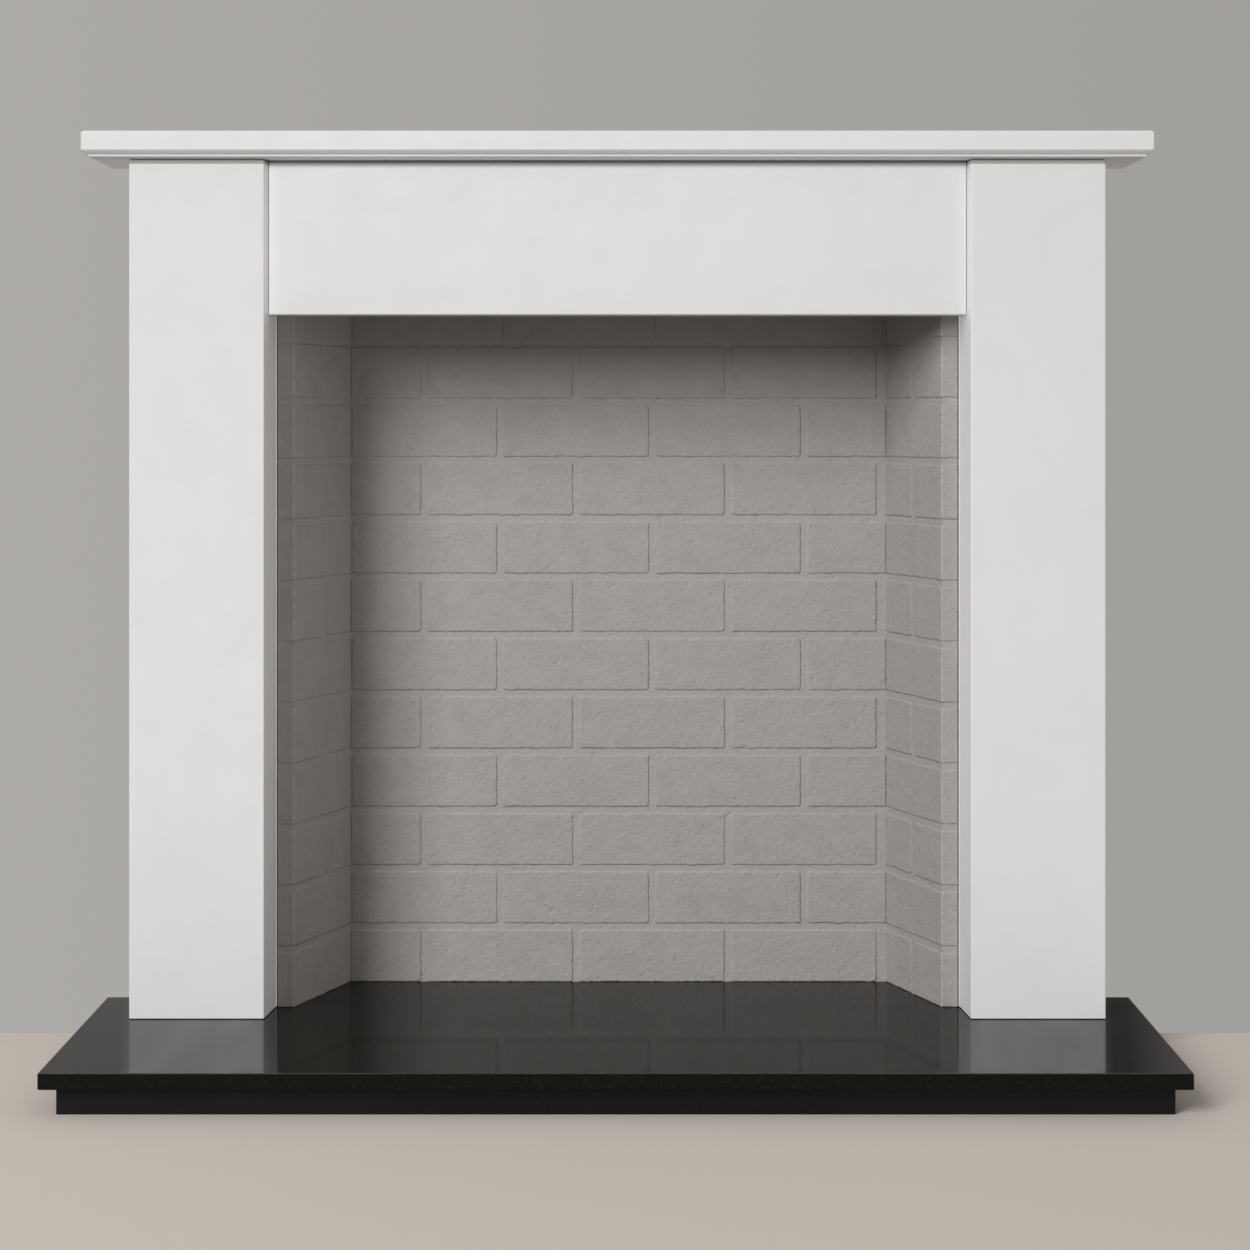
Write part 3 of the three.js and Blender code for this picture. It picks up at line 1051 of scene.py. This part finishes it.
class BrickworkTree:
    """A Geometry Nodes tree that lays cast bricks in half bond along a wall.

    The wall is unrolled: X runs along it, Y goes into it from the brick faces, and Z is up. It may turn
    back once at an upright arris, and a brick that crosses the arris turns with it.
    """

    EDGE_CUTS = 4
    EDGE_BAND = 0.0055
    EDGE_CROWDING = 1.3
    SEED_STEPS = (3.7, 1.9)
    BACK_FROM = 0.9
    FLAT_WITHIN = 0.002
    NOTES = ("blank", "uncut_low", "uncut_high", "cut_low", "cut_high", "seating")

    def __init__(self) -> None:
        """Builds the tree."""
        self.group = bpy.data.node_groups.new("cast brickwork", "GeometryNodeTree")
        self.group.is_modifier = True
        interface = self.group.interface
        interface.new_socket(name="Geometry", in_out="OUTPUT", socket_type="NodeSocketGeometry")
        kinds = {size.name: f"NodeSocket{size.type.title()}" for size in fields(Brickwork)}
        self.sockets = {
            name: interface.new_socket(name=name, in_out="INPUT", socket_type=kind)
            for name, kind in kinds.items()
        }
        self.tree = NodeTree(self.group)
        entry = self.group.nodes.new("NodeGroupInput")
        self.given = SimpleNamespace(**{name: Wire(self.tree, entry.outputs[name]) for name in kinds})
        laid = {"Points": self.beds(), "Instance": self.blank()}
        laid = self.tree.node("GeometryNodeInstanceOnPoints", laid)
        bricks = self.tree.node("GeometryNodeRealizeInstances", {"Geometry": laid})
        along, depth, height, from_edge = self.shape()
        bricks = self.stored(bricks, CastBrick.FROM_EDGE, from_edge, "FLOAT")
        bricks = self.stored(bricks, CastBrick.FROM_ARRIS, abs(along - self.given.turn_at), "FLOAT")
        for kind, name, value in (
            ("SetPosition", "Position", self.turned(along, depth, height)),
            ("SetShadeSmooth", "Shade Smooth", True),
            ("SetMaterial", "Material", self.given.material),
        ):
            bricks = self.tree.node(f"GeometryNode{kind}", {"Geometry": bricks, name: value})
        leave = self.group.nodes.new("NodeGroupOutput")
        self.group.links.new(bricks.socket, leave.inputs[0])

    def stored(self, geometry: Wire, name: str, value: Wire, kind: str = "FLOAT_VECTOR") -> Wire:
        """Keeps a value on every point, by name."""
        inputs = {"Geometry": geometry, "Name": name, "Value": value}
        return self.tree.node("GeometryNodeStoreNamedAttribute", inputs, data_type=kind)

    def read(self, name: str) -> tuple[Wire, Wire, Wire]:
        """Reads a kept vector, as three numbers."""
        kind = "GeometryNodeInputNamedAttribute"
        return self.tree.split(self.tree.node(kind, {"Name": name}, data_type="FLOAT_VECTOR"))

    def blank(self) -> Wire:
        """A cube from -1 to 1, cut into a grid, that remembers where each point was on it.

        Returns:
            The cube.
        """
        inputs = {
            "Size": (2.0, 2.0, 2.0),
            "Vertices X": self.given.cuts_along + 1.0,
            "Vertices Y": 3,
            "Vertices Z": self.given.cuts_up + 1.0,
        }
        cube = self.tree.node("GeometryNodeMeshCube", inputs)
        return self.stored(cube, "blank", self.tree.node("GeometryNodeInputPosition"))

    def beds(self) -> Wire:
        """One point for each brick, which keeps its uncut and its cut outline.

        Returns:
            The points.
        """
        given, tree = self.given, self.tree
        columns = (given.length / given.module).math("CEIL") + 3.0
        rows = ((given.height - given.first_course) / given.course_pitch).math("CEIL") + 1.0
        points = tree.node("GeometryNodePoints", {"Count": columns * rows})
        index = tree.node("GeometryNodeInputIndex")
        row = ((index + 0.5) / columns).math("FLOOR")
        column = index - row * columns
        is_odd = (row * 0.5).math("FRACT") * 2.0
        first = given.joint - given.module * ((given.joint / given.module).math("CEIL") + 1.0)
        joint = first + given.module * (column - is_odd * 0.5)
        half_mortar = given.mortar * 0.5
        left = joint + half_mortar
        right = joint + given.module - half_mortar
        top = given.first_course + given.course_pitch * row - half_mortar
        bottom = top + given.mortar - given.course_pitch
        cut_left, cut_right = left.math("MAXIMUM", 0.0), right.math("MINIMUM", given.length)
        cut_bottom, cut_top = bottom.math("MAXIMUM", 0.0), top.math("MINIMUM", given.height)
        seeds = {"ID": index, "Seed": given.seed}
        seating = tree.node("FunctionNodeRandomValue", seeds, "Value", data_type="FLOAT")
        for name, value in {
            "uncut_low": (left, 0.0, bottom),
            "uncut_high": (right, 0.0, top),
            "cut_low": (cut_left, 0.0, cut_bottom),
            "cut_high": (cut_right, 0.0, cut_top),
            "seating": (seating, 0.0, 0.0),
        }.items():
            points = self.stored(points, name, tree.vector(*value))
        too_short = (cut_right - cut_left).math("LESS_THAN", given.shortest_brick)
        too_low = (cut_top - cut_bottom).math("LESS_THAN", given.shortest_brick)
        inputs = {"Geometry": points, "Selection": too_short.math("MAXIMUM", too_low)}
        return tree.node("GeometryNodeDeleteGeometry", inputs, domain="POINT")

    def spread(self, unit: Wire, low: Wire, high: Wire, cuts: Wire) -> Wire:
        """The place of a point along a brick, with the cuts close together near both its ends.

        Args:
            unit: the place on the blank, from -1 to 1.
            low: where the brick starts.
            high: where the brick ends.
            cuts: the number of cuts.

        Returns:
            The place.
        """
        half = (high - low) * 0.5
        band = (half * 0.5).math("MINIMUM", self.EDGE_BAND)
        steps = (1.0 - abs(unit)) * cuts * 0.5
        near = band * (steps / self.EDGE_CUTS) ** self.EDGE_CROWDING
        far = band + (steps - self.EDGE_CUTS) / (cuts * 0.5 - self.EDGE_CUTS) * (half - band)
        is_near = steps.math("LESS_THAN", self.EDGE_CUTS + 0.01)
        distance = near * is_near + far * (1.0 - is_near)
        return (low + high) * 0.5 + unit.math("SIGN") * (half - distance)

    def shape(self) -> tuple[Wire, Wire, Wire, Wire]:
        """The bricks on the unrolled wall: rounded corners and edges, a little wandering and uneven.

        Returns:
            The place along the wall, the depth into it, the height and the distance from the edge.
        """
        given, tree = self.given, self.tree
        unit, uncut_low, uncut_high, cut_low, cut_high, (seating, _, _) = map(self.read, self.NOTES)
        places, offsets = [], []
        for axis, cuts in ((0, given.cuts_along), (2, given.cuts_up)):
            place = self.spread(unit[axis], cut_low[axis], cut_high[axis], cuts)
            middle = (uncut_low[axis] + uncut_high[axis]) * 0.5
            reach = (uncut_high[axis] - uncut_low[axis]) * 0.5 - given.corner_round
            held = (place - middle).held(-reach, reach)
            places.append(middle + held)
            offsets.append(place - middle - held)
        across, up = offsets
        square = abs(across).math("MAXIMUM", abs(up))
        shrink = square / (across * across + up * up).math("SQRT").math("MAXIMUM", 1e-7)
        along = places[0] + across * shrink
        height = places[1] + up * shrink
        aside, over = self.SEED_STEPS
        at = tree.vector(along + given.seed * aside, 0.0, height + given.seed * over)
        wear = tree.ramp(tree.noise(at, 75.0, 3.0, 0.6), 0.36, 0.66) * 1.5 + 0.45
        edge_round = given.edge_round * wear
        from_edge = given.corner_round - square
        bite = (edge_round - from_edge).math("MAXIMUM", 0.0)
        level = edge_round * edge_round - bite * bite
        drop = edge_round - level.math("MAXIMUM", 0.0).math("SQRT")
        into = (unit[1] + 1.0) * 0.5
        swell = tree.noise(at, 16.0, 2.0) - 0.5
        lumps = tree.noise(at, 90.0, 3.0, 0.6) - 0.5
        uneven = given.unevenness * (seating * 0.6 + swell * 1.6 + lumps * 0.9 + 0.55)
        depth = (drop + uneven) * (1.0 - into) + (given.relief + given.embed) * into
        wandering = {"Vector": at, "Scale": 120.0, "Detail": 4.0, "Roughness": 0.7}
        wander_x, wander_z, _ = tree.split(tree.node("ShaderNodeTexNoise", wandering, "Color"))
        along = (along + given.wander * (wander_x - 0.5)).held(0.0, given.length)
        height = (height + given.wander * (wander_z - 0.5)).held(0.0, given.height)
        return along, depth, height, from_edge.math("MAXIMUM", 0.0)

    def turned(self, along: Wire, depth: Wire, height: Wire) -> Wire:
        """Rolls the wall up again, round its arris.

        Args:
            along: the place along the unrolled wall.
            depth: the depth into the wall.
            height: the height.

        Returns:
            The place.
        """
        angle, radius, arris = self.given.turn_angle, self.given.turn_round, self.given.turn_at
        tangent = radius * (angle * 0.5).math("TANGENT")
        share = (along - arris + tangent) / (tangent * 2.0).math("MAXIMUM", 1e-6)
        turn = angle * share.held(0.0, 1.0)
        before = along.math("MINIMUM", arris - tangent)
        after = (along - arris - tangent).math("MAXIMUM", 0.0)
        sine, cosine = turn.math("SINE"), turn.math("COSINE")
        x = before + radius * sine + after * angle.math("COSINE") - depth * sine
        y = radius * (1.0 - cosine) + after * angle.math("SINE") + depth * cosine
        return self.tree.vector(x, y, height)

    def lay(self, bricks: Brickwork) -> Mesh:
        """Runs the tree once.

        Args:
            bricks: a value for each input.

        Returns:
            The bricks as a plain mesh, on the wall's own axes.
        """
        carrier = add_object("brick bed", bpy.data.meshes.new("brick bed"))
        modifier = carrier.modifiers.new("brickwork", "NODES")
        modifier.node_group = self.group
        for name, socket in self.sockets.items():
            modifier[socket.identifier] = getattr(bricks, name)
        graph = bpy.context.evaluated_depsgraph_get()
        mesh = bpy.data.meshes.new_from_object(carrier.evaluated_get(graph), depsgraph=graph)
        bpy.data.objects.remove(carrier)
        self.merge_backs(mesh)
        for name in self.NOTES:
            if name in mesh.attributes:
                mesh.attributes.remove(mesh.attributes[name])
        return mesh

    @classmethod
    def merge_backs(cls, mesh: Mesh) -> None:
        """Makes the flat back of each brick one face, because the board hides it.

        Args:
            mesh: the bricks.
        """
        bm = bmesh.new()
        bm.from_mesh(mesh)
        blank = bm.verts.layers.float_vector["blank"]
        backs = [edge for edge in bm.edges if all(v[blank].y > cls.BACK_FROM for v in edge.verts)]
        bmesh.ops.dissolve_limit(bm, angle_limit=cls.FLAT_WITHIN, edges=backs, verts=[])
        bm.to_mesh(mesh)
        bm.free()


@dataclass
class FireChamber:
    """The cast chamber: a back, two splayed sides with front returns, and a plain top."""

    BOARD_SMOOTH_UNDER = 30.0
    FAR_FROM_ARRIS = 1.0

    palette: Palette
    arris_half_width: float = 0.427
    back_half_width: float = 0.369
    panel_thickness: float = 0.026
    back_joint: float = 0.151
    back_clearance: float = 0.0004
    mortar_depth: float = 0.0014
    side_module: float = 0.29
    side_cuts: int = 104
    jamb_gap: float = 0.0014
    groove_depth: float = 0.006
    board_arris: float = 0.002
    board_steps: int = 2
    bricks: BrickworkTree = field(default_factory=BrickworkTree)

    def build(self) -> list[Piece]:
        """Builds all four panels."""
        back, left = self.back(), self.side("chamber_left", Side.LEFT, seed=3)
        return [back, left, self.side("chamber_right", Side.RIGHT, seed=8), self.top()]

    def panel(self, node: str, board: Solid, bricks: Brickwork, place: Matrix) -> Piece:
        """A panel: its board with the bricks laid on it.

        Args:
            node: the frame node that it replaces.
            board: the board, in place.
            bricks: what is laid on it.
            place: where the wall's own axes are; a mirror turns the faces back out.

        Returns:
            The piece.
        """
        mesh = finish_mesh(board, self.BOARD_SMOOTH_UNDER)
        kept = {CastBrick.FROM_EDGE: -CastBrick.EDGE_BAND, CastBrick.FROM_ARRIS: self.FAR_FROM_ARRIS}
        for name, value in kept.items():
            values = [value] * len(mesh.vertices)
            mesh.attributes.new(name, "FLOAT", "POINT").data.foreach_set("value", values)
        laid = self.bricks.lay(bricks)
        laid.transform(place)
        if place.determinant() < 0:
            laid.flip_normals()
        bm = bmesh.new()
        bm.from_mesh(mesh)
        bm.from_mesh(laid)
        bm.to_mesh(mesh)
        bm.free()
        bpy.data.meshes.remove(laid)
        mesh.polygons.foreach_set("material_index", [0] * len(mesh.polygons))
        return outfit(node, "panel", mesh, [self.palette.brick], flat=False)

    def back(self) -> Piece:
        """The back panel.

        Returns:
            The piece.
        """
        low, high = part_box("chamber_back")
        board = prism(rectangle((low.x, low.y + self.mortar_depth), high), low.z, high.z)

        def at_rear(edge: bmesh.types.BMEdge) -> bool:
            """Whether an edge lies in the board's back face."""
            return min(vertex.co.y for vertex in edge.verts) > high.y - HAIR

        ease(board, self.board_arris, self.board_steps, at_rear)
        reach = self.back_half_width - self.back_clearance
        bricks = Brickwork(
            self.palette.brick, length=2 * reach, height=high.z - low.z, joint=self.back_joint + reach
        )
        return self.panel("chamber_back", board, bricks, Matrix.Translation((-reach, low.y, low.z)))

    def side(self, node: str, side: Side, seed: int) -> Piece:
        """A side panel, worked out for the left and mirrored for the right.

        Args:
            node: the frame node that it replaces.
            side: which side it is on.
            seed: the seed of its bricks' unevenness.

        Returns:
            The piece.
        """
        low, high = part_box(node)
        outer = max(abs(low.x), abs(high.x))
        front, seat = low.y, high.y
        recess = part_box("chamber_back")[0].y
        lean = (self.arris_half_width - self.back_half_width) / (recess - front)
        arris = Vector((-self.arris_half_width, front))
        splay = Vector((-self.back_half_width + lean * (seat - recess), seat)) - arris
        along = splay.normalized()
        inward = Vector((-along.y, along.x))

        def on_splay(depth: float, y: float) -> Point2:
            """The point of the splay, `depth` into the panel, that is at a given Y."""
            point = arris + inward * depth
            return tuple(point + along * ((y - point.y) / along.y))

        thick, face, groove = self.panel_thickness, front + self.mortar_depth, front + self.groove_depth
        outline = [
            (-outer, groove),
            (self.jamb_gap - outer, groove),
            (self.jamb_gap - outer, face),
            on_splay(self.mortar_depth, face),
            on_splay(self.mortar_depth, seat),
            on_splay(thick, seat),
            on_splay(thick, front + thick),
            (-outer, front + thick),
        ]
        slip = arris.x + outer - self.jamb_gap
        bricks = Brickwork(
            self.palette.brick,
            length=slip + splay.length,
            height=high.z - low.z,
            joint=slip + splay.length / 2,
            module=self.side_module,
            turn_at=slip,
            turn_angle=math.atan2(splay.y, splay.x),
            cuts_along=self.side_cuts,
            seed=seed,
        )
        flip = Matrix.Scale(-side.value, 4, Vector((1, 0, 0)))
        board = prism(outline, low.z, high.z)
        bmesh.ops.transform(board, matrix=flip, verts=board.verts)
        place = flip @ Matrix.Translation((self.jamb_gap - outer, front, low.z))
        return self.panel(node, board, bricks, place)

    def top(self) -> Piece:
        """The plain slab that closes the chamber overhead.

        Returns:
            The piece.
        """
        low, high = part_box("chamber_top")
        board = prism(rectangle(low, high), low.z, high.z)
        ease(board, self.board_arris, self.board_steps)
        return outfit("chamber_top", "slab", finish_mesh(board), [self.palette.board])


@dataclass(frozen=True)
class SoftLight:
    """A large soft light, told by what it gives to a white face that looks straight at it."""

    name: str
    azimuth: float
    elevation: float
    half_width: float
    half_height: float
    level: float
    distance: float = 14.0
    colour: Colour = (1.0, 0.998, 0.994)

    def place(self, receivers: Sequence[Piece]) -> None:
        """Hangs the light and limits it to some of the pieces.

        Args:
            receivers: what it lights.
        """
        azimuth, elevation, half_width, half_height = map(
            math.radians, (self.azimuth, self.elevation, self.half_width, self.half_height)
        )
        level = math.cos(elevation)
        away = Vector((math.sin(azimuth) * level, -math.cos(azimuth) * level, math.sin(elevation)))
        lamp = bpy.data.lights.new(self.name, "AREA")
        lamp.shape = "RECTANGLE"
        lamp.size = 2 * self.distance * math.tan(half_width)
        lamp.size_y = 2 * self.distance * math.tan(half_height)
        lamp.energy = self.level * (math.pi * self.distance) ** 2
        lamp.color = self.colour
        light = add_object(self.name, lamp)
        low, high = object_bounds()
        light.location = (low + high) / 2 + away * self.distance
        light.rotation_euler = away.to_track_quat("Z", "Y").to_euler()
        light.visible_camera = False
        lit = bpy.data.collections.new(f"lit by {self.name}")
        for piece in receivers:
            lit.objects.link(piece)
        light.light_linking.receiver_collection = lit
        LOG.info("%s on %d pieces", self.name, len(receivers))


@dataclass
class Stage:
    """The floor, the light and the camera."""

    frame_px: float = 1250.0
    focal_px: float = 2414.0
    principal_px: Point2 = (636.6, 422.6)
    camera_place: tuple[float, float, float] = (0.0248, -3.243, 0.8257)
    sensor: float = 36.0
    clip: Point2 = (0.05, 100.0)
    floor_half_width: float = 3.0
    floor_front: float = -4.0
    floor_back: float = 0.022
    floor_colour: Colour = (0.622, 0.567, 0.518)
    room_colour: Colour = (0.385, 0.372, 0.358)
    room_turns: Point2 = (-0.3, 0.6)
    room_front: float = 0.21
    room_above: float = 0.62
    room_slope: float = -0.30
    room_right: float = 1.62
    room_left: float = 0.55
    # The painted wall shadow in the room's light: its level and its ramps.
    wall_shadow_level: float = 0.25
    corner_left: Point2 = (0.155, 0.180)
    corner_right: Point2 = (0.215, 0.194)
    wall_shadow_foot: Point2 = (0.19, 0.22)
    chamber_key: SoftLight = SoftLight("chamber key", -38.0, 29.0, 9.0, 18.0, level=0.87)
    splay_key: SoftLight = SoftLight("splay key", -30.0, 32.0, 9.0, 19.0, level=0.77)
    surround_key: SoftLight = SoftLight("surround key", -9.0, 22.0, 5.0, 6.0, level=0.594, distance=5.0)
    jamb_key: SoftLight = SoftLight("jamb key", -6.0, 1.0, 5.0, 8.0, level=0.53, distance=5.0)
    return_light: SoftLight = SoftLight("return light", -78.0, 5.0, 8.0, 14.0, level=0.375)

    def build(self, surround: list[Piece], hearth: list[Piece], chamber: list[Piece]) -> None:
        """Sets the whole stage round the pieces.

        Args:
            surround: the jambs, the frieze and the shelf.
            hearth: the riser and the slab.
            chamber: the back, the left side, the right side and the top.
        """
        floor = self.floor()
        self.world()
        back, left, right, top = chamber
        *jambs, frieze, shelf = surround
        self.chamber_key.place([back, left, top, *hearth, floor])
        self.splay_key.place([right])
        self.surround_key.place([frieze, shelf])
        self.jamb_key.place(jambs)
        self.return_light.place(jambs)
        self.camera()
        bpy.context.scene.view_settings.view_transform = "Standard"

    def floor(self) -> Piece:
        """The plain pale floor.

        Returns:
            The floor.
        """
        mesh = bpy.data.meshes.new("floor")
        half = self.floor_half_width
        corners = rectangle((-half, self.floor_front), (half, self.floor_back))
        mesh.from_pydata([(x, y, 0.0) for x, y in corners], [], [(0, 1, 2, 3)])
        mesh.materials.append(PlainFloor("plain_floor", self.floor_colour).material())
        floor = add_object("floor", mesh)
        floor.visible_diffuse = False
        floor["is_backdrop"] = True
        return floor

    def world(self) -> None:
        """The room's grey light: a wall behind that dims to the right, a painted shadow band beside the
        right jamb that the hearth's right end reflects, and dimmer light in front.
        """
        world = bpy.data.worlds.new("room")
        world.use_nodes = True
        tree = NodeTree(world.node_tree)
        x, y, z = tree.split(tree.node("ShaderNodeTexCoord", output="Generated"))
        low, high = self.room_turns
        turning = {"Value": y, "From Min": low, "From Max": high}
        behind = tree.node("ShaderNodeMapRange", turning, interpolation_type="SMOOTHSTEP")
        sides = x.math("MAXIMUM", 0.0) * self.room_right + (-x).math("MAXIMUM", 0.0) * self.room_left
        front = self.room_front + z.math("MAXIMUM", 0.0) * self.room_above
        # A painted shadow in the room's light: a dark band beside the right jamb that stands in for a
        # wall's shadow, seen in the hearth's reflection.
        corner = tree.ramp(x, *self.corner_left) * tree.ramp(x, *self.corner_right)
        corner = corner * tree.ramp(z, *self.wall_shadow_foot)
        wall = (1.0 + x * self.room_slope) * (1.0 - corner * (1.0 - self.wall_shadow_level))
        level = behind * wall + (1.0 - behind) * (sides + front)
        background = world.node_tree.nodes["Background"]
        background.inputs["Color"].default_value = (*self.room_colour, 1.0)
        world.node_tree.links.new(level.socket, background.inputs["Strength"])
        bpy.context.scene.world = world

    def camera(self) -> None:
        """A level camera, which looks straight at the wall from a little right of the middle."""
        data = bpy.data.cameras.new("camera")
        data.sensor_width = self.sensor
        data.lens = self.sensor * self.focal_px / self.frame_px
        middle = self.frame_px / 2
        data.shift_x = (middle - self.principal_px[0]) / self.frame_px
        data.shift_y = (self.principal_px[1] - middle) / self.frame_px
        data.clip_start, data.clip_end = self.clip
        camera = add_object("camera", data)
        camera.location = self.camera_place
        camera.rotation_euler = (math.pi / 2, 0.0, 0.0)
        bpy.context.scene.camera = camera


def main() -> None:
    """Builds the mantelpiece and its stage."""
    logging.basicConfig(level=logging.INFO, format="%(name)s: %(message)s")
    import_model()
    palette = Palette()
    hearth = Hearth(palette).build()
    surround = Surround(palette).build()
    chamber = FireChamber(palette).build()
    Stage().build(surround, hearth, chamber)


if __name__ == "__main__":
    main()
